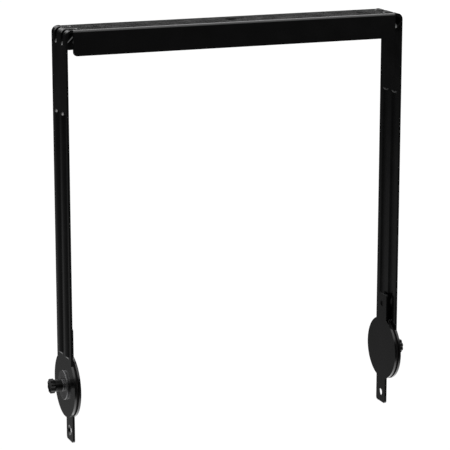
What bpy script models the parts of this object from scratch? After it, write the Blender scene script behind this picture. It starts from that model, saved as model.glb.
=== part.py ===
"""Tilting U-yoke of folded sheet steel with two clamped pivot plates.

The crossbar's top face is at z = 0 and its centre hole is on the Z axis. X runs along the
crossbar from left to right, Y from the front to the back, and the arms hang down. Every size
is in metres. What is on the left is made again on the right as its mirror image.
"""

import math

import bmesh
import bpy
from mathutils import Matrix, Vector

# Driving dimensions of the folded yoke.
WIDTH = 0.645  # over the outer faces of the arms
DEPTH = 0.080  # width of the strap that forms crossbar and arms
SHEET = 0.004  # thickness of the sheet steel
PIVOT_DROP = 0.646  # from the crossbar's top face down to the tilt axis
DISC_RADIUS = 0.0595  # round ends of the arms, and round middle of the tilt plates
CORNER_RADIUS = 0.011  # outer bend radius where the crossbar turns into an arm

# Flanges that make the crossbar a channel.
FLANGE_HEIGHT = 0.045
FLANGE_BEND = 0.005
FLANGE_SETBACK = 0.0145  # from an arm's outer face to the flange's end
FLANGE_CORNER = 0.007

# Holes in the crossbar.
CENTRE_HOLE = 0.020
SIDE_HOLE = 0.011
SIDE_HOLE_OFFSET = 0.255

# Ribs pressed outward along the arms, and darts pressed inward at the corners.
RIB_OFFSET = 0.0178  # of each rib and dart from the strap's middle line
RIB_HALF_WIDTH = 0.0120
RIB_HEIGHT = 0.0040
RIB_FULLNESS = 2.6  # 2 gives a round crest, more gives a flatter one
RIB_END = 0.006  # length over which a rib rises at its ends
RIB_TOP = -0.1455
RIB_BOTTOM = -0.5915
DART_LEG = 0.028  # from the outer corner to the dart's end, along either face
DART_HALF_WIDTH = 0.0055
DART_ROUNDING = 0.005  # of the groove's two ends
DART_WALL = 0.0032  # beside the groove, less than the sheet because pressing thins it

# Pivot, listed from the inside to the outside.
TONGUE_REACH = 0.107  # from the tilt axis to the end of a tongue
TONGUE_WIDTH = 0.037
TONGUE_CORNER = 0.005
TONGUE_HOLE = 0.0125
TONGUE_HOLE_OFFSET = 0.088
COUNTERSINK = 0.020  # diameter at the tilt plate's outer face, with 45 degree walls
TILT_PLATE_INSET = 0.0077  # from an arm's outer face to the tilt plate's outer face
FRICTION_RADIUS = 0.0575
FRICTION_HOLE_RADIUS = 0.0155
STUD_RADIUS = 0.006
STUD_FLANGE_RADIUS = 0.0135
STUD_FLANGE_THICKNESS = 0.0028
STUD_REACH = 0.0215  # beyond the arm's outer face
STUD_HOLE_RADIUS = 0.0066
PRESSURE_WASHER_RADIUS = 0.027
PRESSURE_WASHER_THICKNESS = 0.004
LOCK_WASHER_RADIUS = 0.0115
LOCK_WASHER_THICKNESS = 0.0024
LOCK_WASHER_SPLIT = 0.002
LOCK_WASHER_SLANT = 25  # degrees
KNOB_END = 0.029  # outermost point of the knob beyond the arm's outer face
KNOB_BOSS_RADIUS = 0.0110
KNOB_BOSS_LENGTH = 0.0135
KNOB_GRIP_RADIUS = 0.0134
KNOB_LOBES = 8
KNOB_FLUTE_DEPTH = 0.0020
KNOB_BORE_RADIUS = 0.0078
KNOB_END_WALL = 0.0045
INSERT_RADIUS = 0.0075
INSERT_BORE_RADIUS = 0.0063

GAP = 0.0003  # between pieces that touch
EDGE = 0.0005  # broken edges
MERGE = 0.00001

COLOURS = {
    "powder_coat": ((0.012, 0.012, 0.013), 0.42, 0.0),
    "knob_plastic": ((0.010, 0.010, 0.010), 0.50, 0.0),
    "black_steel": ((0.020, 0.020, 0.021), 0.38, 0.9),
    "brass": ((0.60, 0.42, 0.16), 0.35, 1.0),
    "friction_fibre": ((0.030, 0.028, 0.026), 0.85, 0.0),
}


def clear_scene():
    for old in list(bpy.data.objects):
        bpy.data.objects.remove(old, do_unlink=True)


def new_collection(name):
    collection = bpy.data.collections.new(name)
    bpy.context.scene.collection.children.link(collection)
    return collection


def make_materials():
    materials = {}
    for name, (colour, roughness, metallic) in COLOURS.items():
        material = bpy.data.materials.new(name)
        material.use_nodes = True
        shader = material.node_tree.nodes["Principled BSDF"]
        shader.inputs["Base Color"].default_value = (*colour, 1.0)
        shader.inputs["Roughness"].default_value = roughness
        shader.inputs["Metallic"].default_value = metallic
        materials[name] = material
    return materials


def mesh_object(name, bm, collection, material=None):
    mesh = bpy.data.meshes.new(name)
    bm.to_mesh(mesh)
    bm.free()
    obj = bpy.data.objects.new(name, mesh)
    collection.objects.link(obj)
    if material:
        mesh.materials.append(material)
    return obj


def smooth(obj, degrees=35):
    obj.data.shade_smooth()
    obj.data.set_sharp_from_angle(angle=math.radians(degrees))


def arc(centre, radius, start, end, steps):
    """Points on a circle, from the start angle to the end angle in degrees."""
    points = []
    for step in range(steps + 1):
        angle = math.radians(start + (end - start) * step / steps)
        points.append((centre[0] + radius * math.cos(angle), centre[1] + radius * math.sin(angle)))
    return points


def boolean(obj, other, operation):
    modifier = obj.modifiers.new(other.name, "BOOLEAN")
    modifier.operation = operation
    modifier.solver = "EXACT"
    modifier.object = other


def cutter(name, bm):
    obj = mesh_object(name, bm, CUTTERS)
    obj.hide_render = True
    obj.display_type = "WIRE"
    return obj


def add_cylinder(bm, centre, axis, radius, length, steps):
    """A capped cylinder whose middle is at centre."""
    turn = Vector((0, 0, 1)).rotation_difference(Vector(axis)).to_matrix().to_4x4()
    bmesh.ops.create_cone(
        bm,
        cap_ends=True,
        segments=steps,
        radius1=radius,
        radius2=radius,
        depth=length,
        matrix=Matrix.Translation(centre) @ turn,
    )


def add_prism(bm, outline, y_middle, half_width, rounding, rounded_corners):
    """An outline of (x, z) points extruded along Y, with its given long corners rounded off."""
    front = [bm.verts.new((x, y_middle - half_width, z)) for x, z in outline]
    back = [bm.verts.new((x, y_middle + half_width, z)) for x, z in outline]
    faces = [bm.faces.new(front), bm.faces.new(list(reversed(back)))]
    for index in range(len(outline)):
        following = (index + 1) % len(outline)
        faces.append(bm.faces.new((front[index], back[index], back[following], front[following])))
    bmesh.ops.recalc_face_normals(bm, faces=faces)
    first, second = rounded_corners
    edges = [bm.edges.get((side[first], side[second])) for side in (front, back)]
    bmesh.ops.bevel(
        bm,
        geom=edges,
        offset=rounding,
        offset_type="OFFSET",
        segments=4,
        profile=0.5,
        affect="EDGES",
        clamp_overlap=True,
    )


# ---------------------------------------------------------------- yoke


def rib_columns():
    """Distances from the strap's middle line to the mesh lines over a rib."""
    steps = 8
    return [RIB_OFFSET - RIB_HALF_WIDTH * math.cos(math.pi * step / steps) for step in range(steps + 1)]


def rib_rows():
    """Heights of the mesh lines over a rib's two ends, from the top down."""
    steps = 3
    inset = [RIB_END * step / steps for step in range(steps + 1)]
    upper = [RIB_TOP - value for value in inset]
    lower = [RIB_BOTTOM + value for value in reversed(inset)]
    return upper + lower


def rib_rise(across, height):
    """How far a rib stands proud of the arm's face: an arched section that runs out at the ends."""
    sideways = min(1.0, abs(across - RIB_OFFSET) / RIB_HALF_WIDTH)
    from_end = max(0.0, min(RIB_TOP - height, height - RIB_BOTTOM))
    ramp = 1 - min(1.0, from_end / RIB_END)
    return RIB_HEIGHT * (1 - sideways**RIB_FULLNESS) * (1 - ramp * ramp)


def yoke_quarter():
    """Outer skin of the front left quarter, from the middle of the crossbar to the arm's disc."""
    bm = bmesh.new()
    arm_x = -WIDTH / 2
    flange_x = arm_x + FLANGE_SETBACK
    web_edge = DEPTH / 2 - FLANGE_BEND
    columns = [0.0] + rib_columns() + [web_edge, DEPTH / 2]
    chord_z = -PIVOT_DROP + math.sqrt(DISC_RADIUS**2 - (DEPTH / 2) ** 2)

    path = [(0.0, 0.0), (flange_x, 0.0)]
    path += arc((arm_x + CORNER_RADIUS, -CORNER_RADIUS), CORNER_RADIUS, 90, 180, 5)
    path += [(arm_x, z) for z in rib_rows()] + [(arm_x, chord_z)]

    rows = []
    for index, (x, z) in enumerate(path):
        on_channel = index == 0
        row = []
        for across in columns[:-1] if on_channel else columns:
            row.append(bm.verts.new((x - rib_rise(across, z), -across, z)))
        rows.append(row)
    for upper, lower in zip(rows, rows[1:]):
        for column in range(min(len(upper), len(lower)) - 1):
            following = column + 1
            bm.faces.new((upper[column], lower[column], lower[following], upper[following]))

    add_flange(bm, flange_x, rows[0][-1], rows[1][-2])
    add_arm_disc(bm, arm_x, rows[-1])
    return bm


def add_flange(bm, end_x, middle_vertex, end_vertex):
    """The channel's rounded long edge and its front flange, hung on the web's edge."""
    bend = arc((DEPTH / 2 - FLANGE_BEND, -FLANGE_BEND), FLANGE_BEND, 90, 0, 4)[1:]
    middle, end = middle_vertex, end_vertex
    for across, z in bend:
        next_middle = bm.verts.new((0.0, -across, z))
        next_end = bm.verts.new((end_x, -across, z))
        bm.faces.new((middle, end, next_end, next_middle))
        middle, end = next_middle, next_end
    corner = arc((end_x + FLANGE_CORNER, -FLANGE_HEIGHT + FLANGE_CORNER), FLANGE_CORNER, 180, 270, 4)
    lower = [bm.verts.new((x, -DEPTH / 2, z)) for x, z in corner]
    lower.append(bm.verts.new((0.0, -DEPTH / 2, -FLANGE_HEIGHT)))
    bm.faces.new([middle, end] + lower)


def add_arm_disc(bm, arm_x, chord):
    """Half of the round plate at the arm's lower end."""
    meeting = math.degrees(math.asin(math.sqrt(DISC_RADIUS**2 - (DEPTH / 2) ** 2) / DISC_RADIUS))
    outline = arc((0.0, -PIVOT_DROP), DISC_RADIUS, meeting, -90, 22)[1:]
    rim = [bm.verts.new((arm_x, -across, z)) for across, z in reversed(outline)]
    bm.faces.new(list(reversed(chord)) + rim)


def dart_grooves(bm):
    """Cutting blocks that take away all that is above each dart's 45 degree floor."""
    outside = 0.004
    far = DART_LEG + outside
    outline = [(-outside, -outside), (far, -outside), (-outside, far)]
    for side in (-1, 1):
        placed = [(side * (WIDTH / 2 - inward), -down) for inward, down in outline]
        for y in (-RIB_OFFSET, RIB_OFFSET):
            add_prism(bm, placed, y, DART_HALF_WIDTH, DART_ROUNDING, (1, 2))


def dart_ridges():
    """What the darts add inside the corners: blocks with one sheet thickness below the groove."""
    bm = bmesh.new()
    inner = SHEET / 2
    reach = DART_LEG + SHEET * math.sqrt(2) - inner
    half_width = DART_HALF_WIDTH + DART_WALL
    outline = [(inner, CORNER_RADIUS), (CORNER_RADIUS, inner), (reach, inner), (inner, reach)]
    for side in (-1, 1):
        placed = [(side * (WIDTH / 2 - inward), -down) for inward, down in outline]
        for y in (-RIB_OFFSET, RIB_OFFSET):
            add_prism(bm, placed, y, half_width, DART_HALF_WIDTH, (2, 3))
    return cutter("dart_ridges", bm)


def yoke_cuts():
    """Dart grooves and every hole of the yoke."""
    bm = bmesh.new()
    dart_grooves(bm)
    through = SHEET * 3
    for x, diameter in ((-SIDE_HOLE_OFFSET, SIDE_HOLE), (0, CENTRE_HOLE), (SIDE_HOLE_OFFSET, SIDE_HOLE)):
        add_cylinder(bm, (x, 0, -SHEET / 2), (0, 0, 1), diameter / 2, through, 24)
    for side in (-1, 1):
        sheet_middle = side * (WIDTH / 2 - SHEET / 2)
        add_cylinder(bm, (sheet_middle, 0, -PIVOT_DROP), (1, 0, 0), STUD_HOLE_RADIUS, through, 24)
    return cutter("yoke_cuts", bm)


def make_yoke():
    yoke = mesh_object("yoke", yoke_quarter(), PARTS, MATERIALS["powder_coat"])
    mirror = yoke.modifiers.new("both_ways", "MIRROR")
    mirror.use_axis = (True, True, False)
    mirror.merge_threshold = MERGE
    thicken = yoke.modifiers.new("sheet", "SOLIDIFY")
    thicken.thickness = SHEET
    thicken.offset = -1
    thicken.use_even_offset = True
    edges = yoke.modifiers.new("broken_edges", "BEVEL")
    edges.width = EDGE
    edges.segments = 1
    edges.limit_method = "ANGLE"
    edges.angle_limit = math.radians(60)
    boolean(yoke, dart_ridges(), "UNION")
    boolean(yoke, yoke_cuts(), "DIFFERENCE")
    smooth(yoke)


# ---------------------------------------------------------------- turned and flat pieces


def turned(name, profile, steps, collection, material=None, closed=False):
    """A profile of (radius, height) points turned about Z by a Screw modifier."""
    bm = bmesh.new()
    points = [bm.verts.new((radius, 0, height)) for radius, height in profile]
    for first, second in zip(points, points[1:]):
        bm.edges.new((first, second))
    if closed:
        bm.edges.new((points[-1], points[0]))
    obj = mesh_object(name, bm, collection, material)
    screw = obj.modifiers.new("turn", "SCREW")
    screw.steps = steps
    screw.render_steps = steps
    screw.use_merge_vertices = True
    screw.merge_threshold = MERGE
    screw.use_smooth_shade = True
    return obj


def ring(name, outer, inner, thickness, steps, material):
    """A flat ring from z = 0 up to its thickness, with broken outer edges."""
    profile = [
        (outer - EDGE, thickness),
        (outer, thickness - EDGE),
        (outer, EDGE),
        (outer - EDGE, 0),
        (inner, 0),
        (inner, thickness),
    ]
    return turned(name, profile, steps, PARTS, MATERIALS[material], closed=True)


def place(obj, side, inset, height):
    """Stand a piece on an arm: its local Z points away from the yoke, its foot is at the inset."""
    obj.rotation_euler = (0, side * math.pi / 2, 0)
    obj.location = (side * (WIDTH / 2 - inset), 0, height)


def flat_plate(name, outline, thickness, material):
    """A 2D curve filled and extruded, made into a mesh whose caps are welded."""
    curve = bpy.data.curves.new(name, "CURVE")
    curve.dimensions = "2D"
    curve.fill_mode = "BOTH"
    curve.extrude = thickness / 2 - EDGE
    curve.bevel_depth = EDGE
    curve.bevel_resolution = 0
    curve.offset = -EDGE
    spline = curve.splines.new("POLY")
    spline.points.add(len(outline) - 1)
    for point, (x, y) in zip(spline.points, outline):
        point.co = (x, y, 0, 1)
    spline.use_cyclic_u = True
    drawn = bpy.data.objects.new(name + "_curve", curve)
    CUTTERS.objects.link(drawn)
    bpy.context.view_layer.update()
    evaluated = drawn.evaluated_get(bpy.context.evaluated_depsgraph_get())
    mesh = bpy.data.meshes.new_from_object(evaluated)
    bm = bmesh.new()
    bm.from_mesh(mesh)
    bmesh.ops.remove_doubles(bm, verts=bm.verts, dist=MERGE)
    bmesh.ops.recalc_face_normals(bm, faces=bm.faces)
    bpy.data.objects.remove(drawn, do_unlink=True)
    return mesh_object(name, bm, PARTS, MATERIALS[material])


def tilt_plate_outline():
    """A disc with two opposite tongues along local X, whose ends have rounded corners."""
    half = TONGUE_WIDTH / 2
    meeting = math.degrees(math.asin(half / DISC_RADIUS))
    outline = []
    for turn in (0, 180):
        outline += arc((0, 0), DISC_RADIUS, turn - 180 + meeting, turn - meeting, 26)
        tip = []
        for sign in (-1, 1):
            centre = (TONGUE_REACH - TONGUE_CORNER, sign * (half - TONGUE_CORNER))
            start = -90 if sign < 0 else 0
            tip += arc(centre, TONGUE_CORNER, start, start + 90, 4)
        facing = 1 if turn == 0 else -1
        outline += [(facing * x, facing * y) for x, y in tip]
    return outline


def countersunk_hole(name, plate, x):
    """One screw hole of a plate, opened to a cone at the plate's outer face."""
    outer = COUNTERSINK / 2
    inner = TONGUE_HOLE / 2
    face = SHEET / 2
    beyond = 0.002
    profile = [
        (0, face + beyond),
        (outer + beyond, face + beyond),
        (inner, face - outer + inner),
        (inner, -face - beyond),
        (0, -face - beyond),
    ]
    cone = turned(name, profile, 24, CUTTERS)
    cone.hide_render = True
    cone.display_type = "WIRE"
    cone.location = (x, 0, 0)
    cone.parent = plate
    boolean(plate, cone, "DIFFERENCE")


def make_tilt_plate(label, side):
    bm = bmesh.new()
    bm.faces.new([bm.verts.new((x, y, 0)) for x, y in tilt_plate_outline()])
    plate = mesh_object(label + "_tilt_plate", bm, PARTS, MATERIALS["powder_coat"])
    thicken = plate.modifiers.new("sheet", "SOLIDIFY")
    thicken.thickness = SHEET
    thicken.offset = 0
    edges = plate.modifiers.new("broken_edges", "BEVEL")
    edges.width = EDGE
    edges.segments = 1
    edges.limit_method = "ANGLE"
    edges.angle_limit = math.radians(60)
    countersunk_hole(label + "_upper_hole", plate, -side * TONGUE_HOLE_OFFSET)
    countersunk_hole(label + "_lower_hole", plate, side * TONGUE_HOLE_OFFSET)
    place(plate, side, TILT_PLATE_INSET + SHEET / 2, -PIVOT_DROP)
    smooth(plate)


def make_friction_disc(label, side):
    thickness = TILT_PLATE_INSET - SHEET - 2 * GAP
    disc = ring(
        label + "_friction_disc",
        FRICTION_RADIUS,
        FRICTION_HOLE_RADIUS,
        thickness,
        36,
        "friction_fibre",
    )
    place(disc, side, TILT_PLATE_INSET - GAP, -PIVOT_DROP)
    smooth(disc)


def make_stud(label, side):
    """A flanged stud: the flange lies against the tilt plate, the shank reaches into the knob."""
    length = TILT_PLATE_INSET - GAP + STUD_REACH
    tip = 0.001
    profile = [
        (0, length),
        (STUD_RADIUS - tip, length),
        (STUD_RADIUS, length - tip),
        (STUD_RADIUS, STUD_FLANGE_THICKNESS),
        (STUD_FLANGE_RADIUS - EDGE, STUD_FLANGE_THICKNESS),
        (STUD_FLANGE_RADIUS, STUD_FLANGE_THICKNESS - EDGE),
        (STUD_FLANGE_RADIUS, 0),
        (0, 0),
    ]
    stud = turned(label + "_pivot_stud", profile, 24, PARTS, MATERIALS["black_steel"])
    place(stud, side, TILT_PLATE_INSET - GAP, -PIVOT_DROP)
    smooth(stud)


def make_pressure_washer(label, side):
    washer = ring(
        label + "_pressure_washer",
        PRESSURE_WASHER_RADIUS,
        STUD_HOLE_RADIUS,
        PRESSURE_WASHER_THICKNESS,
        32,
        "black_steel",
    )
    place(washer, side, -GAP, -PIVOT_DROP)
    smooth(washer)
    return PRESSURE_WASHER_THICKNESS + 2 * GAP


def make_lock_washer(label, side, stand_off):
    washer = ring(
        label + "_lock_washer",
        LOCK_WASHER_RADIUS,
        STUD_HOLE_RADIUS,
        LOCK_WASHER_THICKNESS,
        24,
        "black_steel",
    )
    bm = bmesh.new()
    bmesh.ops.create_cube(bm, size=1)
    size = (LOCK_WASHER_RADIUS, LOCK_WASHER_SPLIT, LOCK_WASHER_THICKNESS * 3)
    slant = Matrix.Rotation(math.radians(LOCK_WASHER_SLANT), 4, "X")
    place_split = Matrix.Translation((LOCK_WASHER_RADIUS, 0, LOCK_WASHER_THICKNESS / 2))
    bm.transform(place_split @ slant @ Matrix.Diagonal((*size, 1)))
    split = cutter(label + "_washer_split", bm)
    split.parent = washer
    boolean(washer, split, "DIFFERENCE")
    place(washer, side, -stand_off, -PIVOT_DROP)
    smooth(washer)
    return stand_off + LOCK_WASHER_THICKNESS + GAP


def knob_outline():
    """Round lobes with narrow flutes between them."""
    per_lobe = 8
    count = KNOB_LOBES * per_lobe
    points = []
    for step in range(count):
        angle = 2 * math.pi * step / count
        dip = math.cos(KNOB_LOBES * angle / 2) ** 4
        radius = KNOB_GRIP_RADIUS - KNOB_FLUTE_DEPTH * dip
        points.append((radius * math.cos(angle), radius * math.sin(angle)))
    return points


def make_knob(label, side, stand_off):
    """A fluted grip with a plain boss, bored from the boss end for the threaded insert."""
    total = KNOB_END - stand_off
    grip_length = total - KNOB_BOSS_LENGTH
    knob = flat_plate(label + "_knob", knob_outline(), grip_length, "knob_plastic")
    boss_profile = [
        (0, KNOB_BOSS_LENGTH + EDGE),
        (KNOB_BOSS_RADIUS, KNOB_BOSS_LENGTH + EDGE),
        (KNOB_BOSS_RADIUS, EDGE),
        (KNOB_BOSS_RADIUS - EDGE, 0),
        (0, 0),
    ]
    boss = turned(label + "_boss", boss_profile, 32, CUTTERS)
    bore_depth = total - KNOB_END_WALL
    bore_profile = [(0, bore_depth), (KNOB_BORE_RADIUS, bore_depth), (KNOB_BORE_RADIUS, -EDGE), (0, -EDGE)]
    bore = turned(label + "_bore", bore_profile, 24, CUTTERS)
    for helper in (boss, bore):
        helper.hide_render = True
        helper.display_type = "WIRE"
        helper.location = (0, 0, -grip_length / 2 - KNOB_BOSS_LENGTH)
        helper.parent = knob
    boolean(knob, boss, "UNION")
    boolean(knob, bore, "DIFFERENCE")
    place(knob, side, -(stand_off + KNOB_BOSS_LENGTH + grip_length / 2), -PIVOT_DROP)
    smooth(knob)


def make_insert(label, side, stand_off):
    """The threaded bush in the knob, with a groove that keeps it from pulling out."""
    length = KNOB_END - stand_off - KNOB_END_WALL - 2 * GAP
    groove = 0.001
    middle = length / 2
    profile = [
        (INSERT_RADIUS, length),
        (INSERT_RADIUS, middle + groove),
        (INSERT_RADIUS - groove / 2, middle + groove / 2),
        (INSERT_RADIUS - groove / 2, middle - groove / 2),
        (INSERT_RADIUS, middle - groove),
        (INSERT_RADIUS, 0),
        (INSERT_BORE_RADIUS, 0),
        (INSERT_BORE_RADIUS, length),
    ]
    insert = turned(label + "_knob_insert", profile, 24, PARTS, MATERIALS["brass"], closed=True)
    place(insert, side, -(stand_off + GAP), -PIVOT_DROP)
    smooth(insert)


# ---------------------------------------------------------------- assembly


def make_pivot(label, side):
    make_tilt_plate(label, side)
    make_friction_disc(label, side)
    make_stud(label, side)
    stand_off = make_pressure_washer(label, side)
    stand_off = make_lock_washer(label, side, stand_off)
    make_knob(label, side, stand_off)
    make_insert(label, side, stand_off)


clear_scene()
PARTS = new_collection("tilt_yoke")
CUTTERS = new_collection("cutters")
MATERIALS = make_materials()
make_yoke()
for side_name, side_sign in (("left", -1), ("right", 1)):
    make_pivot(side_name, side_sign)
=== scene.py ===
"""Studio picture of a tilting U-yoke: a folded steel frame whose arms end in clamped pivot plates.

Pieces made here ride on the CAD bodies.
"""

import math

import bmesh
import bpy
from mathutils import Matrix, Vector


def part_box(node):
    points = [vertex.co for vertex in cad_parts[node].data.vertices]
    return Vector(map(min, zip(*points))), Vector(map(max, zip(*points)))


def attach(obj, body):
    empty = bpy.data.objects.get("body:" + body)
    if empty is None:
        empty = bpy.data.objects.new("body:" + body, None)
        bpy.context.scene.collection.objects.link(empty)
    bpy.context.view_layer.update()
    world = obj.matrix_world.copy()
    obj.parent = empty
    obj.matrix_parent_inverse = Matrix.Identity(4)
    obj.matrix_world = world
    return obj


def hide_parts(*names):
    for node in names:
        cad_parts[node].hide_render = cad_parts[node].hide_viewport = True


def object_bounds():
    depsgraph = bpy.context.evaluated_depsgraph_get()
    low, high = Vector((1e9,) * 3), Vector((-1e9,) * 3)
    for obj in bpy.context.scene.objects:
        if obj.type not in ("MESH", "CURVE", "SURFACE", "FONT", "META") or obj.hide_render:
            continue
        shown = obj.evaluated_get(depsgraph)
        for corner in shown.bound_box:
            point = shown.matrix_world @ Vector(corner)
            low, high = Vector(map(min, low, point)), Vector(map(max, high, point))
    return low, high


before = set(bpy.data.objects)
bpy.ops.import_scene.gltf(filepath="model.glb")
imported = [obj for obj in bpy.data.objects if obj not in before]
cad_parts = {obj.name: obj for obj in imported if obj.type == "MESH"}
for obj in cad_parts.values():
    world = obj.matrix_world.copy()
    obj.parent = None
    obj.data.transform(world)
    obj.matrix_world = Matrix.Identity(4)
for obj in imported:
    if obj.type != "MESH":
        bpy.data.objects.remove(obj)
cad_low, cad_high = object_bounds()

# ---------------------------------------------------------------- sizes, the frame's where it has them

SIDES = (("left", -1), ("right", 1))
GAP = 0.0003
tilt_low, tilt_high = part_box("left_tilt_plate")
washer_low, washer_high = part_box("left_pressure_washer")
lock_low, lock_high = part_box("left_lock_washer")
knob_low, knob_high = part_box("left_knob")
insert_low, insert_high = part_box("left_knob_insert")
yoke_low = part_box("yoke")[0]

PIVOT_Z = (tilt_low.z + tilt_high.z) / 2
DISC_RADIUS = PIVOT_Z - yoke_low.z
ARM_FACE = washer_high.x - GAP  # x of the left arm's outer face, with the washer's foot bedded in it
SHEET = tilt_high.x - tilt_low.x

# The yoke. Offsets are from its middle, and heights are z, with the crossbar's top face at 0.
HALF_DEPTH = 0.040
CORNER_RADIUS = 0.011
FLANGE_HEIGHT = 0.045
FLANGE_BEND = 0.005
FLANGE_SETBACK = 0.0145
FLANGE_CORNER = 0.007
CENTRE_HOLE = 0.010
SIDE_HOLE = 0.0055
SIDE_HOLE_OFFSET = 0.255
STUD_HOLE = 0.0066
RIB_OFFSET = 0.0178
RIB_HALF_WIDTH = 0.0120
RIB_HEIGHT = 0.0040
RIB_FULLNESS = 2.6
RIB_END = 0.0048
RIB_END_FULLNESS = 1.8
RIB_RUN_OUT = 1.35
RIB_TOP = -0.1455
RIB_BOTTOM = -0.5915
DART_LEG = 0.028
DART_HALF_WIDTH = 0.0055
DART_LIP = 0.0016
DART_WALL = SHEET * 0.8
BROKEN_EDGE = 0.0005
SHARP_ANGLE = 40  # degrees; the cut edges that are broken turn by more than this

# The pivots, along a local Z that starts at the arm's outer face and points away from the yoke.
PLATE_BACK = -(tilt_high.x - ARM_FACE)
PLATE_FACE = PLATE_BACK + SHEET
TONGUE_REACH = tilt_high.z - PIVOT_Z
TONGUE_HALF_WIDTH = 0.0185
TONGUE_CORNER = 0.005
TONGUE_HOLE = 0.00625
TONGUE_HOLE_OFFSET = 0.088
COUNTERSINK = 0.010
FRICTION_RADIUS = 0.0575
FRICTION_HOLE = 0.0155
FRICTION_EDGE = 0.0004
WASHER_RADIUS = washer_high.y
WASHER_FOOT = ARM_FACE - washer_high.x
WASHER_FACE = ARM_FACE - washer_low.x
WASHER_EDGE = 0.0008
LOCK_RADIUS = lock_high.y
LOCK_FOOT = ARM_FACE - lock_high.x
LOCK_FACE = ARM_FACE - lock_low.x
LOCK_EDGE = 0.0003
LOCK_SPLIT = 0.002
LOCK_SLANT = 25  # degrees
KNOB_FOOT = ARM_FACE - knob_high.x
KNOB_END = ARM_FACE - knob_low.x
KNOB_END_WALL = 0.0046
KNOB_EDGE = 0.0008
KNOB_LOBES = 8
GRIP_RADIUS = 0.0134
GRIP_FLUTE = 0.0020
DISH_RIM = 0.0028
DISH_DEPTH = 0.0013
DISH_RADIUS = 0.0040
BOSS_RADIUS = 0.0110
BOSS_LENGTH = 0.0135
NECK_WIDTH = 0.0003
NECK_HEIGHT = 0.0002
BORE_RADIUS = 0.0078
BORE_CHAMFER = 0.0004
STUD_RADIUS = 0.006
STUD_FLANGE = 0.0135
STUD_FLANGE_THICKNESS = 0.0028
STUD_TIP = 0.0215
STUD_CHAMFER = 0.0004
THREAD_PITCH = 0.00175
THREAD_DEPTH = 0.0008
TIP_CHAMFER = 0.001
INSERT_FOOT = ARM_FACE - insert_high.x
INSERT_END = ARM_FACE - insert_low.x
INSERT_RADIUS = 0.0075
INSERT_BORE = 0.0063
INSERT_CHAMFER = 0.0003
INSERT_GROOVE = 0.0005

# Cutters reach past what they cut by these.
DRILL_REACH = 0.01
GROOVE_REACH = 0.004

# The picture.
FLOOR_RADIUS = 18.0
FLOOR_GAP = 0.0005
FOCAL_LENGTH = 168.98
CAMERA_PLACE = (-1.41588, -3.49069, 0.49578)
CAMERA_TILT = -13.067  # degrees from level
CAMERA_TURN = -21.92  # degrees from a look along +Y

# ---------------------------------------------------------------- mesh helpers

scaffold = bpy.data.collections.new("scaffold")  # cutters and joined blocks, outside the scene


def arc(centre, radius, start, end, steps):
    """Points on a circle, from the start angle to the end angle in degrees."""
    points = []
    for step in range(steps + 1):
        angle = math.radians(start + (end - start) * step / steps)
        points.append((centre[0] + radius * math.cos(angle), centre[1] + radius * math.sin(angle)))
    return points


def object_from(name, bm, collection=None):
    """An object with a bmesh's shape, in the scene unless another collection is given."""
    mesh = bpy.data.meshes.new(name)
    bm.to_mesh(mesh)
    bm.free()
    obj = bpy.data.objects.new(name, mesh)
    (collection or bpy.context.scene.collection).objects.link(obj)
    return obj


def settle(obj, sharp=40):
    """Applies an object's modifiers, then shades it smooth up to an angle given in degrees."""
    bpy.context.view_layer.update()
    evaluated = obj.evaluated_get(bpy.context.evaluated_depsgraph_get())
    mesh = bpy.data.meshes.new_from_object(evaluated)
    obj.modifiers.clear()
    obj.data = mesh
    mesh.shade_smooth()
    mesh.set_sharp_from_angle(angle=math.radians(sharp))
    weighted = obj.modifiers.new("weighted", "WEIGHTED_NORMAL")
    weighted.keep_sharp = True
    weighted.weight = 90


def show(obj, body, slot, *nodes):
    """Gives a finished piece its material, lets it ride on a body and stand for CAD nodes."""
    obj.data.materials.clear()
    obj.data.materials.append(SLOTS[slot])
    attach(obj, body)
    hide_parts(*nodes)


def lathe(name, profile, steps, collection=None, lobes=0):
    """A profile of (radius, height) points turned about Z; a third value is a point's flute depth."""
    bm = bmesh.new()
    rings = []
    for radius, height, *depth in profile:
        if radius == 0:
            rings.append([bm.verts.new((0, 0, height))])
            continue
        ring = []
        for step in range(steps):
            angle = 2 * math.pi * step / steps
            dip = math.cos(lobes * angle / 2) ** 4 if depth else 0.0
            reach = radius - dip * sum(depth)
            ring.append(bm.verts.new((reach * math.cos(angle), reach * math.sin(angle), height)))
        rings.append(ring)
    pairs = list(zip(rings, rings[1:]))
    if len(rings[0]) > 1 and len(rings[-1]) > 1:
        pairs.append((rings[-1], rings[0]))
    for first, second in pairs:
        for step in range(steps):
            following = (step + 1) % steps
            corners = [first[step % len(first)], first[following % len(first)]]
            corners += [second[following % len(second)], second[step % len(second)]]
            bm.faces.new(list(dict.fromkeys(corners)))
    bmesh.ops.recalc_face_normals(bm, faces=bm.faces)
    return object_from(name, bm, collection)


def stand(obj, side):
    """Turns a piece's local Z away from the yoke and puts its origin on the pivot, at the arm's face."""
    obj.rotation_euler = (0, side * math.pi / 2, 0)
    obj.location = (-side * ARM_FACE, 0, PIVOT_Z)


def drill_section(radius):
    """The profile of a drill that reaches past the arm's or the crossbar's sheet both ways."""
    return [(0, DRILL_REACH), (radius, DRILL_REACH), (radius, -DRILL_REACH), (0, -DRILL_REACH)]


def cut(obj, other, operation="DIFFERENCE"):
    """Cuts another object out of this one, or joins it on with the operation UNION."""
    modifier = obj.modifiers.new(other.name, "BOOLEAN")
    modifier.operation = operation
    modifier.solver = "EXACT"
    modifier.object = other


def break_edges(obj):
    """Takes the sharp corner off the edges of cut sheet."""
    edges = obj.modifiers.new("broken_edges", "BEVEL")
    edges.width = BROKEN_EDGE
    edges.segments = 3
    edges.limit_method = "ANGLE"
    edges.angle_limit = math.radians(SHARP_ANGLE)


# ---------------------------------------------------------------- materials


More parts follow.
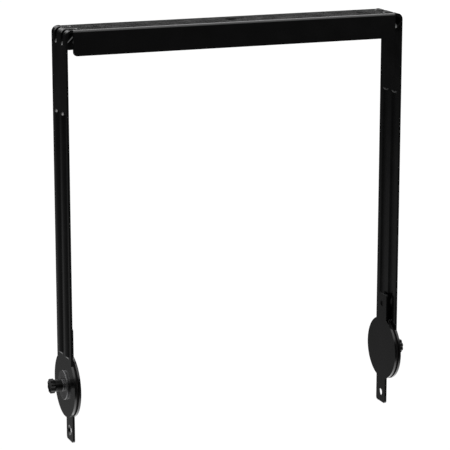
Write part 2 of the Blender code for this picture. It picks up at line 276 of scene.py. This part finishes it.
def new_material(name, colour, roughness, metallic=0.0, specular=0.5):
    """A Principled material whose plain values stay on the sockets that take a texture later."""
    material = bpy.data.materials.new(name)
    material.use_nodes = True
    shader = material.node_tree.nodes["Principled BSDF"]
    shader.inputs["Base Color"].default_value = (*colour, 1.0)
    shader.inputs["Roughness"].default_value = roughness
    shader.inputs["Metallic"].default_value = metallic
    shader.inputs["Specular IOR Level"].default_value = specular
    return material


def add_node(material, kind, **values):
    """A shader node; each value sets the input of that name, or else the node's own setting."""
    node = material.node_tree.nodes.new(kind)
    for name, value in values.items():
        if name in node.inputs:
            node.inputs[name].default_value = value
        else:
            setattr(node, name, value)
    return node


def link(material, source, target):
    material.node_tree.links.new(source, target)


def noise(material, scale, detail):
    """A noise texture fixed to the object, with features of about 1 / scale metres."""
    place = add_node(material, "ShaderNodeTexCoord")
    texture = add_node(material, "ShaderNodeTexNoise", Scale=scale, Detail=detail)
    link(material, place.outputs["Object"], texture.inputs["Vector"])
    return texture.outputs["Fac"]


def ramp(material, source, low, high, first, last):
    """A colour or grey that runs from first to last while the source runs from low to high."""
    node = add_node(material, "ShaderNodeValToRGB")
    for element, position, value in zip(node.color_ramp.elements, (low, high), (first, last)):
        colour = value if isinstance(value, tuple) else (value, value, value)
        element.position = position
        element.color = (*colour, 1.0)
    link(material, source, node.inputs["Fac"])
    return node.outputs["Color"]


def edge_mask(material, radius):
    """White where the surface is within about a radius of a sharp edge, black on flat ground."""
    rounded = add_node(material, "ShaderNodeBevel", Radius=radius, samples=4)
    flat = add_node(material, "ShaderNodeNewGeometry")
    likeness = add_node(material, "ShaderNodeVectorMath", operation="DOT_PRODUCT")
    link(material, rounded.outputs["Normal"], likeness.inputs[0])
    link(material, flat.outputs["Normal"], likeness.inputs[1])
    return ramp(material, likeness.outputs["Value"], 0.80, 0.995, 1.0, 0.0)


def mix_colours(material, factor, first, second):
    """Runs from the first colour to the second; each is a node's output or a fixed (r, g, b)."""
    node = add_node(material, "ShaderNodeMix", data_type="RGBA")
    link(material, factor, node.inputs["Factor"])
    for value, socket in ((first, node.inputs["A"]), (second, node.inputs["B"])):
        if isinstance(value, tuple):
            socket.default_value = (*value, 1.0)
        else:
            link(material, value, socket)
    return node.outputs["Result"]


def finish_surface(material, colour, roughness, bump_source, bump_depth):
    """Links colour, roughness and a bump of the given depth in metres to the shader."""
    shader = material.node_tree.nodes["Principled BSDF"]
    link(material, colour, shader.inputs["Base Color"])
    link(material, roughness, shader.inputs["Roughness"])
    bump = add_node(material, "ShaderNodeBump", Distance=bump_depth, Strength=1.0)
    link(material, bump_source, bump.inputs["Height"])
    link(material, bump.outputs["Normal"], shader.inputs["Normal"])


def coated_steel(name, dark, light, roughness, wear, peel):
    """Powder coat: cloudy tone, fine orange peel, and edges rubbed paler in patches."""
    material = new_material(name, dark, roughness)
    clouds = ramp(material, noise(material, 14.0, 4.0), 0.35, 0.70, dark, light)
    rubbed = edge_mask(material, 0.0012)
    patches = ramp(material, noise(material, 90.0, 5.0), 0.45, 0.62, 0.0, 1.0)
    where = add_node(material, "ShaderNodeMath", operation="MULTIPLY")
    link(material, rubbed, where.inputs[0])
    link(material, patches, where.inputs[1])
    colour = mix_colours(material, where.outputs["Value"], clouds, wear)
    gloss = ramp(material, noise(material, 30.0, 6.0), 0.30, 0.75, roughness - 0.03, roughness + 0.05)
    finish_surface(material, colour, gloss, noise(material, 900.0, 2.0), peel)
    return material


def dark_steel(name, dark, light, roughness):
    """Blackened steel with a fine mottle and bare, brighter edges."""
    material = new_material(name, dark, roughness, metallic=0.85)
    clouds = ramp(material, noise(material, 60.0, 5.0), 0.35, 0.70, dark, light)
    bright = edge_mask(material, 0.0006)
    colour = mix_colours(material, bright, clouds, (0.36, 0.36, 0.365))
    gloss = ramp(material, noise(material, 220.0, 4.0), 0.30, 0.70, roughness - 0.05, roughness + 0.08)
    finish_surface(material, colour, gloss, noise(material, 1500.0, 2.0), 0.00001)
    return material


def moulded_plastic(name, dark, light, roughness):
    """Filled nylon: fine grain, uneven gloss and slightly paler edges."""
    material = new_material(name, dark, roughness, specular=0.22)
    clouds = ramp(material, noise(material, 120.0, 4.0), 0.35, 0.70, dark, light)
    colour = mix_colours(material, edge_mask(material, 0.0007), clouds, (0.006, 0.006, 0.006))
    gloss = ramp(material, noise(material, 260.0, 5.0), 0.30, 0.70, roughness - 0.08, roughness + 0.06)
    finish_surface(material, colour, gloss, noise(material, 2200.0, 2.0), 0.00003)
    return material


def machined_brass(name):
    """Turned brass with a mottled tone and a fine grain."""
    material = new_material(name, (0.60, 0.42, 0.16), 0.32, metallic=1.0)
    tone = ramp(material, noise(material, 150.0, 4.0), 0.35, 0.70, (0.52, 0.35, 0.13), (0.66, 0.47, 0.20))
    gloss = ramp(material, noise(material, 500.0, 3.0), 0.30, 0.70, 0.25, 0.40)
    finish_surface(material, tone, gloss, noise(material, 1800.0, 2.0), 0.00001)
    return material


def pressed_fibre(name):
    """Near-black friction lining: dull, speckled and rough to the touch."""
    material = new_material(name, (0.007, 0.0065, 0.0065), 0.9, specular=0.15)
    grain = noise(material, 700.0, 6.0)
    speckle = ramp(material, grain, 0.40, 0.62, (0.004, 0.004, 0.004), (0.010, 0.009, 0.009))
    gloss = ramp(material, noise(material, 300.0, 3.0), 0.30, 0.70, 0.80, 0.95)
    finish_surface(material, speckle, gloss, noise(material, 800.0, 4.0), 0.0001)
    return material


SLOTS = {
    "powder_coat": coated_steel(
        "powder_coat",
        dark=(0.0010, 0.0010, 0.0011),
        light=(0.0018, 0.0018, 0.0019),
        roughness=0.19,
        wear=(0.006, 0.006, 0.006),
        peel=0.000004,
    ),
    "black_steel": dark_steel(
        "black_steel", dark=(0.09, 0.09, 0.092), light=(0.14, 0.14, 0.143), roughness=0.24
    ),
    "knob_plastic": moulded_plastic(
        "knob_plastic", dark=(0.0012, 0.0012, 0.0012), light=(0.0025, 0.0025, 0.0025), roughness=0.34
    ),
    "insert_brass": machined_brass("insert_brass"),
    "friction_fibre": pressed_fibre("friction_fibre"),
}

# ---------------------------------------------------------------- yoke


def rib_columns():
    """Distances from the strap's middle line to the mesh lines over a rib."""
    steps = 20
    turns = [math.pi * step / steps for step in range(steps + 1)]
    return [RIB_OFFSET - RIB_HALF_WIDTH * math.cos(turn) for turn in turns]


def rib_rows():
    """Heights of the mesh lines over a rib, from the top down."""
    end_steps = 8
    middle_steps = 12
    inset = [RIB_END * step / end_steps for step in range(end_steps + 1)]
    upper = [RIB_TOP - value for value in inset]
    lower = [RIB_BOTTOM + value for value in reversed(inset)]
    length = lower[0] - upper[-1]
    middle = [upper[-1] + length * step / middle_steps for step in range(1, middle_steps)]
    return upper + middle + lower


def rib_rise(across, height):
    """How far a rib stands proud of the arm's face: an arched section that runs out at the ends."""
    sideways = min(1.0, abs(across - RIB_OFFSET) / RIB_HALF_WIDTH)
    from_end = max(0.0, min(RIB_TOP - height, height - RIB_BOTTOM))
    slope = 1 - min(1.0, from_end / RIB_END)
    fullness = RIB_FULLNESS - (RIB_FULLNESS - RIB_END_FULLNESS) * slope
    return RIB_HEIGHT * (1 - sideways**fullness) * (1 - slope**RIB_RUN_OUT)


def yoke_quarter():
    """The outer skin of the front left quarter, from the crossbar's middle to the arm's disc."""
    bm = bmesh.new()
    flange_x = ARM_FACE + FLANGE_SETBACK
    columns = [0.0] + rib_columns() + [HALF_DEPTH - FLANGE_BEND, HALF_DEPTH]
    chord_z = PIVOT_Z + math.sqrt(DISC_RADIUS**2 - HALF_DEPTH**2)
    path = [(0.0, 0.0), (flange_x, 0.0)]
    path += arc((ARM_FACE + CORNER_RADIUS, -CORNER_RADIUS), CORNER_RADIUS, 90, 180, 14)
    path += [(ARM_FACE, z) for z in rib_rows()] + [(ARM_FACE, chord_z)]
    rows = []
    for index, (x, z) in enumerate(path):
        used = columns[:-1] if index == 0 else columns
        rows.append([bm.verts.new((x - rib_rise(across, z), -across, z)) for across in used])
    for upper, lower in zip(rows, rows[1:]):
        for column in range(min(len(upper), len(lower)) - 1):
            following = column + 1
            bm.faces.new((upper[column], lower[column], lower[following], upper[following]))
    add_flange(bm, flange_x, rows[0][-1], rows[1][-2])
    add_arm_disc(bm, rows[-1])
    return bm


def add_flange(bm, end_x, middle, end):
    """The channel's rounded long edge and its front flange, hung on the web's edge."""
    bend = arc((HALF_DEPTH - FLANGE_BEND, -FLANGE_BEND), FLANGE_BEND, 90, 0, 10)[1:]
    for across, z in bend:
        next_middle = bm.verts.new((0.0, -across, z))
        next_end = bm.verts.new((end_x, -across, z))
        bm.faces.new((middle, end, next_end, next_middle))
        middle, end = next_middle, next_end
    corner_centre = (end_x + FLANGE_CORNER, -FLANGE_HEIGHT + FLANGE_CORNER)
    corner = arc(corner_centre, FLANGE_CORNER, 180, 270, 10)
    lower = [bm.verts.new((x, -HALF_DEPTH, z)) for x, z in corner]
    lower.append(bm.verts.new((0.0, -HALF_DEPTH, -FLANGE_HEIGHT)))
    bm.faces.new([middle, end] + lower)


def add_arm_disc(bm, chord):
    """Half of the round plate at the arm's lower end."""
    meeting = math.degrees(math.acos(HALF_DEPTH / DISC_RADIUS))
    outline = arc((0.0, PIVOT_Z), DISC_RADIUS, meeting, -90, 64)[1:]
    rim = [bm.verts.new((ARM_FACE, -across, z)) for across, z in reversed(outline)]
    bm.faces.new(list(reversed(chord)) + rim)


def add_prism(bm, outline, y_middle, half_width, rounding, rounded_corners):
    """Extrudes an outline of (x, z) points along Y and rounds two edges of each end.

    The rounded edge runs between the two outline points that rounded_corners names.
    """
    front = [bm.verts.new((x, y_middle - half_width, z)) for x, z in outline]
    back = [bm.verts.new((x, y_middle + half_width, z)) for x, z in outline]
    faces = [bm.faces.new(front), bm.faces.new(list(reversed(back)))]
    for index in range(len(outline)):
        following = (index + 1) % len(outline)
        faces.append(bm.faces.new((front[index], back[index], back[following], front[following])))
    bmesh.ops.recalc_face_normals(bm, faces=faces)
    first, second = rounded_corners
    edges = [bm.edges.get((side[first], side[second])) for side in (front, back)]
    bmesh.ops.bevel(
        bm,
        geom=edges,
        offset=rounding,
        offset_type="OFFSET",
        segments=8,
        profile=0.5,
        affect="EDGES",
        clamp_overlap=True,
    )


def dart_blocks(name, outline, half_width, rounding, rounded_corners):
    """The same block in line with each rib at both corners.

    Its outline is (inward, down) from where the crossbar's top and the arm's face would meet.
    """
    bm = bmesh.new()
    for side in (-1, 1):
        placed = [(side * (-ARM_FACE - inward), -down) for inward, down in outline]
        for y in (-RIB_OFFSET, RIB_OFFSET):
            add_prism(bm, placed, y, half_width, rounding, rounded_corners)
    return object_from(name, bm, scaffold)


def soften_dart_lips(yoke):
    """Rounds the outer lips of the pressed darts, whose metal was drawn in over a punch."""
    bm = bmesh.new()
    bm.from_mesh(yoke.data)
    near = DART_LEG + DART_LIP
    side_reach = DART_HALF_WIDTH + 0.0004  # a little past the dart's own sides
    lip_angle = math.radians(30)
    lips = []
    for edge in bm.edges:
        if len(edge.link_faces) != 2 or edge.calc_face_angle() < lip_angle:
            continue
        points = [vertex.co for vertex in edge.verts]
        in_corner = all(abs(p.x) > -ARM_FACE - near and p.z > -near for p in points)
        on_skin = all(is_on_skin(point) for point in points)
        beside = all(abs(abs(p.y) - RIB_OFFSET) < side_reach for p in points)
        if in_corner and on_skin and beside:
            lips.append(edge)
    bmesh.ops.bevel(bm, geom=lips, offset=DART_LIP, segments=4, profile=0.5, affect="EDGES")
    bm.to_mesh(yoke.data)
    bm.free()


def is_on_skin(point):
    """Whether a point lies on the outer side of the folded sheet near a corner."""
    flat_tolerance = 0.0001
    bend_tolerance = 0.0003  # the bend's facets lie a little inside its arc
    from_side = -ARM_FACE - abs(point.x)
    from_top = -point.z
    if from_side < CORNER_RADIUS and from_top < CORNER_RADIUS:
        reach = math.hypot(CORNER_RADIUS - from_side, CORNER_RADIUS - from_top)
        return reach > CORNER_RADIUS - bend_tolerance
    return min(from_side, from_top) < flat_tolerance


def press_darts(yoke):
    """Joins two ridges on inside each folded corner and cuts a groove over each from outside."""
    inner = SHEET / 2
    reach = DART_LEG + SHEET * math.sqrt(2) - inner
    ridge = [(inner, CORNER_RADIUS), (CORNER_RADIUS, inner), (reach, inner), (inner, reach)]
    ridge_half_width = DART_HALF_WIDTH + DART_WALL
    ridges = dart_blocks("dart_ridges", ridge, ridge_half_width, DART_HALF_WIDTH, (2, 3))
    cut(yoke, ridges, "UNION")
    far = DART_LEG + GROOVE_REACH
    groove = [(-GROOVE_REACH, -GROOVE_REACH), (far, -GROOVE_REACH), (-GROOVE_REACH, far)]
    groove_rounding = DART_HALF_WIDTH * 0.9
    cut(yoke, dart_blocks("dart_grooves", groove, DART_HALF_WIDTH, groove_rounding, (1, 2)))


def drill_yoke(yoke):
    """Three holes in the crossbar and one for the stud in each arm's disc."""
    for x, radius in ((-SIDE_HOLE_OFFSET, SIDE_HOLE), (0.0, CENTRE_HOLE), (SIDE_HOLE_OFFSET, SIDE_HOLE)):
        drill = lathe("drill", drill_section(radius), 48, scaffold)
        drill.location = (x, 0, 0)
        cut(yoke, drill)
    for side in (-1, 1):
        drill = lathe("pivot_drill", drill_section(STUD_HOLE), 32, scaffold)
        stand(drill, side)
        cut(yoke, drill)


def make_yoke():
    """One folded sheet: the crossbar's channel with an arm and a disc at each end."""
    yoke = object_from("yoke_frame", yoke_quarter())
    mirror = yoke.modifiers.new("both_ways", "MIRROR")
    mirror.use_axis = (True, True, False)
    mirror.merge_threshold = 0.00001
    thicken = yoke.modifiers.new("sheet", "SOLIDIFY")
    thicken.thickness = SHEET
    thicken.offset = -1
    thicken.use_even_offset = True
    press_darts(yoke)
    drill_yoke(yoke)
    settle(yoke, 35)
    yoke.modifiers.clear()
    soften_dart_lips(yoke)
    break_edges(yoke)
    settle(yoke, 35)
    show(yoke, "frame", "powder_coat", "yoke")


make_yoke()

# ---------------------------------------------------------------- pivots


def plate_outline():
    """A disc with two opposite tongues along local X."""
    meeting = math.degrees(math.asin(TONGUE_HALF_WIDTH / DISC_RADIUS))
    corner_x = TONGUE_REACH - TONGUE_CORNER
    corner_y = TONGUE_HALF_WIDTH - TONGUE_CORNER
    half = arc((0, 0), DISC_RADIUS, -90, -meeting, 40)
    half += arc((corner_x, -corner_y), TONGUE_CORNER, -90, 0, 8)
    half += arc((corner_x, corner_y), TONGUE_CORNER, 0, 90, 8)
    half += arc((0, 0), DISC_RADIUS, meeting, 90, 40)[:-1]
    return half + [(-x, -y) for x, y in half]


def drill_tongues(plate):
    """Cuts a countersunk hole into each tongue; the countersink is a cone of 90 degrees."""
    low = PLATE_BACK - DRILL_REACH
    section = [
        (0, DRILL_REACH),
        (COUNTERSINK + DRILL_REACH - PLATE_FACE, DRILL_REACH),
        (TONGUE_HOLE, PLATE_FACE - COUNTERSINK + TONGUE_HOLE),
        (TONGUE_HOLE, low),
        (0, low),
    ]
    for x in (-TONGUE_HOLE_OFFSET, TONGUE_HOLE_OFFSET):
        drill = lathe("tongue_drill", section, 40, scaffold)
        drill.location = (x, 0, 0)
        cut(plate, drill)


def make_tilt_plate(label, side):
    """The flat plate with two drilled tongues that turns on the pivot."""
    bm = bmesh.new()
    face = bm.faces.new([bm.verts.new((x, y, PLATE_BACK)) for x, y in plate_outline()])
    grown = bmesh.ops.extrude_face_region(bm, geom=[face])
    raised = [item for item in grown["geom"] if isinstance(item, bmesh.types.BMVert)]
    bmesh.ops.translate(bm, verts=raised, vec=(0, 0, SHEET))
    bmesh.ops.recalc_face_normals(bm, faces=bm.faces)
    plate = object_from(label + "_plate", bm)
    drill_tongues(plate)
    break_edges(plate)
    settle(plate, 35)
    stand(plate, side)
    show(plate, label + "_tilt", "powder_coat", label + "_tilt_plate")


def rounded_ring(outer, inner, foot, top, edge):
    """The closed section of a ring whose four edges are rounded to the radius edge."""
    corners = ((inner, foot, 1, 1), (outer, foot, -1, 1), (outer, top, -1, -1), (inner, top, 1, -1))
    section = []
    for (radius, height, inward, upward), start in zip(corners, (180, 270, 0, 90)):
        section += arc((radius + inward * edge, height + upward * edge), edge, start, start + 90, 4)
    return section


def fit(piece, side, body, slot, node, sharp=40):
    """Shades a piece made about its local Z, stands it on its pivot and shows it for its CAD node."""
    settle(piece, sharp)
    stand(piece, side)
    show(piece, body, slot, node)


def make_friction_disc(label, side):
    """The lining between the tilt plate and the arm."""
    section = rounded_ring(FRICTION_RADIUS, FRICTION_HOLE, PLATE_FACE + GAP, -SHEET - GAP, FRICTION_EDGE)
    disc = lathe(label + "_disc", section, 128)
    fit(disc, side, "frame", "friction_fibre", label + "_friction_disc")


def make_stud(label, side):
    stud = lathe(label + "_stud", stud_section(), 40)
    fit(stud, side, label + "_tilt", "black_steel", label + "_pivot_stud", 35)


def make_pressure_washer(label, side):
    section = rounded_ring(WASHER_RADIUS, STUD_HOLE, WASHER_FOOT, WASHER_FACE, WASHER_EDGE)
    washer = lathe(label + "_washer", section, 96)
    fit(washer, side, label + "_clamp", "black_steel", label + "_pressure_washer", 35)


def make_lock_washer(label, side):
    """A spring washer with its slanted split cut out."""
    section = rounded_ring(LOCK_RADIUS, STUD_HOLE, LOCK_FOOT, LOCK_FACE, LOCK_EDGE)
    washer = lathe(label + "_spring", section, 72)
    bm = bmesh.new()
    bmesh.ops.create_cube(bm, size=1)
    place = Matrix.Translation((LOCK_RADIUS, 0, (LOCK_FOOT + LOCK_FACE) / 2))
    slant = Matrix.Rotation(math.radians(LOCK_SLANT), 4, "X")
    size = Matrix.Diagonal((LOCK_RADIUS, LOCK_SPLIT, (LOCK_FACE - LOCK_FOOT) * 3, 1))
    bm.transform(place @ slant @ size)  # three thicknesses high, so it cuts through at a slant
    cut(washer, object_from("split", bm, scaffold))
    fit(washer, side, label + "_clamp", "black_steel", label + "_lock_washer")


def make_knob(label, side):
    """The moulded grip and, in its bore, the threaded brass insert."""
    knob = lathe(label + "_hand_knob", knob_section(), 96, lobes=KNOB_LOBES)
    fit(knob, side, label + "_grip", "knob_plastic", label + "_knob", 50)
    insert = lathe(label + "_bush", insert_section(), 40)
    fit(insert, side, label + "_grip", "insert_brass", label + "_knob_insert", 35)


def knob_section():
    """From the bottom of the bore out round the boss, the fluted grip and its dished end."""
    shoulder = KNOB_FOOT + BOSS_LENGTH
    bore_end = KNOB_END - KNOB_END_WALL
    edge = KNOB_EDGE
    mid = edge * 0.3  # how far a rounded edge's middle stays from both of its faces
    rim = GRIP_RADIUS - DISH_RIM
    rim_slope = ((0.0, 0.0, 0.5), (0.0006, 0.0003, 0.4), (0.0018, 0.0011, 0.1))  # inward, down, flute
    section = [(0.0, bore_end), (BORE_RADIUS, bore_end), (BORE_RADIUS, KNOB_FOOT + BORE_CHAMFER)]
    section += [(BORE_RADIUS + BORE_CHAMFER, KNOB_FOOT), (BOSS_RADIUS - edge, KNOB_FOOT)]
    section += [(BOSS_RADIUS - mid, KNOB_FOOT + mid), (BOSS_RADIUS, KNOB_FOOT + edge)]
    section += [(BOSS_RADIUS, shoulder - edge), (BOSS_RADIUS + NECK_WIDTH, shoulder - NECK_HEIGHT)]
    section += [
        (GRIP_RADIUS - edge, shoulder, GRIP_FLUTE - edge * 0.2),
        (GRIP_RADIUS - mid, shoulder + mid, GRIP_FLUTE),
        (GRIP_RADIUS, shoulder + edge, GRIP_FLUTE),
        (GRIP_RADIUS, KNOB_END - edge, GRIP_FLUTE),
        (GRIP_RADIUS - mid, KNOB_END - mid, GRIP_FLUTE),
        (GRIP_RADIUS - edge, KNOB_END, GRIP_FLUTE * 0.9),
    ]
    section += [(rim - inward, KNOB_END - down, GRIP_FLUTE * share) for inward, down, share in rim_slope]
    section += [(DISH_RADIUS, KNOB_END - DISH_DEPTH), (0.0, KNOB_END - DISH_DEPTH)]
    return section


def stud_section():
    """A round flange and a threaded shank, whose thread is plain rings of crests and roots."""
    foot = PLATE_FACE + GAP
    top = foot + STUD_FLANGE_THICKNESS
    section = [(0.0, foot), (STUD_FLANGE - STUD_CHAMFER, foot), (STUD_FLANGE, foot + STUD_CHAMFER)]
    section += [(STUD_FLANGE, top - STUD_CHAMFER), (STUD_FLANGE - STUD_CHAMFER, top), (STUD_RADIUS, top)]
    height = top + THREAD_PITCH
    while height + THREAD_PITCH < STUD_TIP - TIP_CHAMFER:
        section += [(STUD_RADIUS, height), (STUD_RADIUS - THREAD_DEPTH, height + THREAD_PITCH / 2)]
        height += THREAD_PITCH
    section += [(STUD_RADIUS, height), (STUD_RADIUS - TIP_CHAMFER, STUD_TIP), (0.0, STUD_TIP)]
    return section


def insert_section():
    """A bush with a retaining groove round its middle."""
    middle = (INSERT_FOOT + INSERT_END) / 2
    root = INSERT_RADIUS - INSERT_GROOVE
    section = [(INSERT_BORE, INSERT_FOOT), (INSERT_RADIUS - INSERT_CHAMFER, INSERT_FOOT)]
    section += [(INSERT_RADIUS, INSERT_FOOT + INSERT_CHAMFER)]
    section += [(INSERT_RADIUS, middle - 2 * INSERT_GROOVE), (root, middle - INSERT_GROOVE)]
    section += [(root, middle + INSERT_GROOVE), (INSERT_RADIUS, middle + 2 * INSERT_GROOVE)]
    section += [(INSERT_RADIUS, INSERT_END), (INSERT_BORE, INSERT_END)]
    return section


for label, side in SIDES:
    make_tilt_plate(label, side)
    make_friction_disc(label, side)
    make_stud(label, side)
    make_pressure_washer(label, side)
    make_lock_washer(label, side)
    make_knob(label, side)

# ---------------------------------------------------------------- floor, light and camera


def make_floor():
    """A glowing white disc that the camera sees, and that neither lights nor shades the object."""
    bm = bmesh.new()
    bmesh.ops.create_circle(bm, cap_ends=True, segments=96, radius=FLOOR_RADIUS)
    floor = object_from("floor", bm)
    floor.location = (0, 0, cad_low.z - FLOOR_GAP)
    material = new_material("pale_floor", (0.02, 0.02, 0.02), 0.9, specular=0.0)
    shader = material.node_tree.nodes["Principled BSDF"]
    shader.inputs["Emission Color"].default_value = (1.0, 1.0, 1.0, 1.0)
    shader.inputs["Emission Strength"].default_value = 1.0
    floor.data.materials.append(material)
    floor.visible_glossy = False
    floor.visible_diffuse = False
    floor.visible_shadow = False


# Light for each height of a direction, from -1 straight down to 1 straight up.
BACK_LIGHT = (
    (-1.00, 0.70),
    (-0.70, 0.52),
    (-0.44, 0.12),
    (-0.30, 0.040),
    (-0.14, 0.005),
    (0.08, 0.007),
    (0.19, 0.009),
    (0.29, 0.030),
    (0.40, 0.800),
    (1.00, 0.50),
)
FRONT_LIGHT = (
    (-1.00, 0.70),
    (-0.72, 0.50),
    (-0.52, 0.10),
    (-0.36, 0.022),
    (-0.14, 0.018),
    (0.36, 0.016),
    (0.50, 0.10),
    (0.66, 0.45),
    (1.00, 0.50),
)
LIGHT_STRENGTH = 3.6
BLEND_FROM = -0.35  # a direction's Y where the front light starts to give way to the back light
BLEND_TO = 0.45


def add_bands(tree, height, stops):
    """A ramp through (height, light) stops, read at a height that is already scaled to 0 to 1."""
    bands = tree.nodes.new("ShaderNodeValToRGB")
    bands.color_ramp.interpolation = "EASE"
    elements = bands.color_ramp.elements
    while len(elements) < len(stops):
        elements.new(0.5)
    for element, (level, value) in zip(elements, stops):
        element.position = (level + 1) / 2
        element.color = (value, value, value, 1.0)
    tree.links.new(height, bands.inputs["Fac"])
    return bands.outputs["Color"]


def make_world():
    """A studio bright overhead and underneath, and dim round the horizon over a wider band in front.

    The camera sees plain white behind the object.
    """
    world = bpy.data.worlds.new("studio")
    bpy.context.scene.world = world
    world.use_nodes = True
    tree = world.node_tree
    tree.nodes.clear()
    place = tree.nodes.new("ShaderNodeTexCoord")
    split = tree.nodes.new("ShaderNodeSeparateXYZ")
    tree.links.new(place.outputs["Generated"], split.inputs["Vector"])
    scaled = tree.nodes.new("ShaderNodeMath")
    scaled.operation = "MULTIPLY_ADD"
    scaled.inputs[1].default_value = 0.5
    scaled.inputs[2].default_value = 0.5
    tree.links.new(split.outputs["Z"], scaled.inputs[0])
    behind = tree.nodes.new("ShaderNodeMapRange")
    behind.interpolation_type = "SMOOTHSTEP"
    behind.inputs["From Min"].default_value = BLEND_FROM
    behind.inputs["From Max"].default_value = BLEND_TO
    tree.links.new(split.outputs["Y"], behind.inputs["Value"])
    blend = tree.nodes.new("ShaderNodeMix")
    blend.data_type = "RGBA"
    tree.links.new(behind.outputs["Result"], blend.inputs["Factor"])
    tree.links.new(add_bands(tree, scaled.outputs["Value"], FRONT_LIGHT), blend.inputs["A"])
    tree.links.new(add_bands(tree, scaled.outputs["Value"], BACK_LIGHT), blend.inputs["B"])
    studio = tree.nodes.new("ShaderNodeBackground")
    studio.inputs["Strength"].default_value = LIGHT_STRENGTH
    tree.links.new(blend.outputs["Result"], studio.inputs["Color"])
    backdrop = tree.nodes.new("ShaderNodeBackground")
    backdrop.inputs["Color"].default_value = (1.0, 1.0, 1.0, 1.0)
    path = tree.nodes.new("ShaderNodeLightPath")
    choose = tree.nodes.new("ShaderNodeMixShader")
    tree.links.new(path.outputs["Is Camera Ray"], choose.inputs["Fac"])
    tree.links.new(studio.outputs["Background"], choose.inputs[1])
    tree.links.new(backdrop.outputs["Background"], choose.inputs[2])
    output = tree.nodes.new("ShaderNodeOutputWorld")
    tree.links.new(choose.outputs["Shader"], output.inputs["Surface"])


def make_camera():
    """A long lens in front, to the left and a little above."""
    data = bpy.data.cameras.new("camera")
    data.sensor_width = 36.0
    data.lens = FOCAL_LENGTH
    data.clip_start = 0.1
    data.clip_end = 100.0
    camera = bpy.data.objects.new("camera", data)
    bpy.context.scene.collection.objects.link(camera)
    camera.location = CAMERA_PLACE
    camera.rotation_euler = (math.radians(90 + CAMERA_TILT), 0.0, math.radians(CAMERA_TURN))
    bpy.context.scene.camera = camera


make_floor()
make_world()
make_camera()
bpy.context.scene.view_settings.view_transform = "Standard"
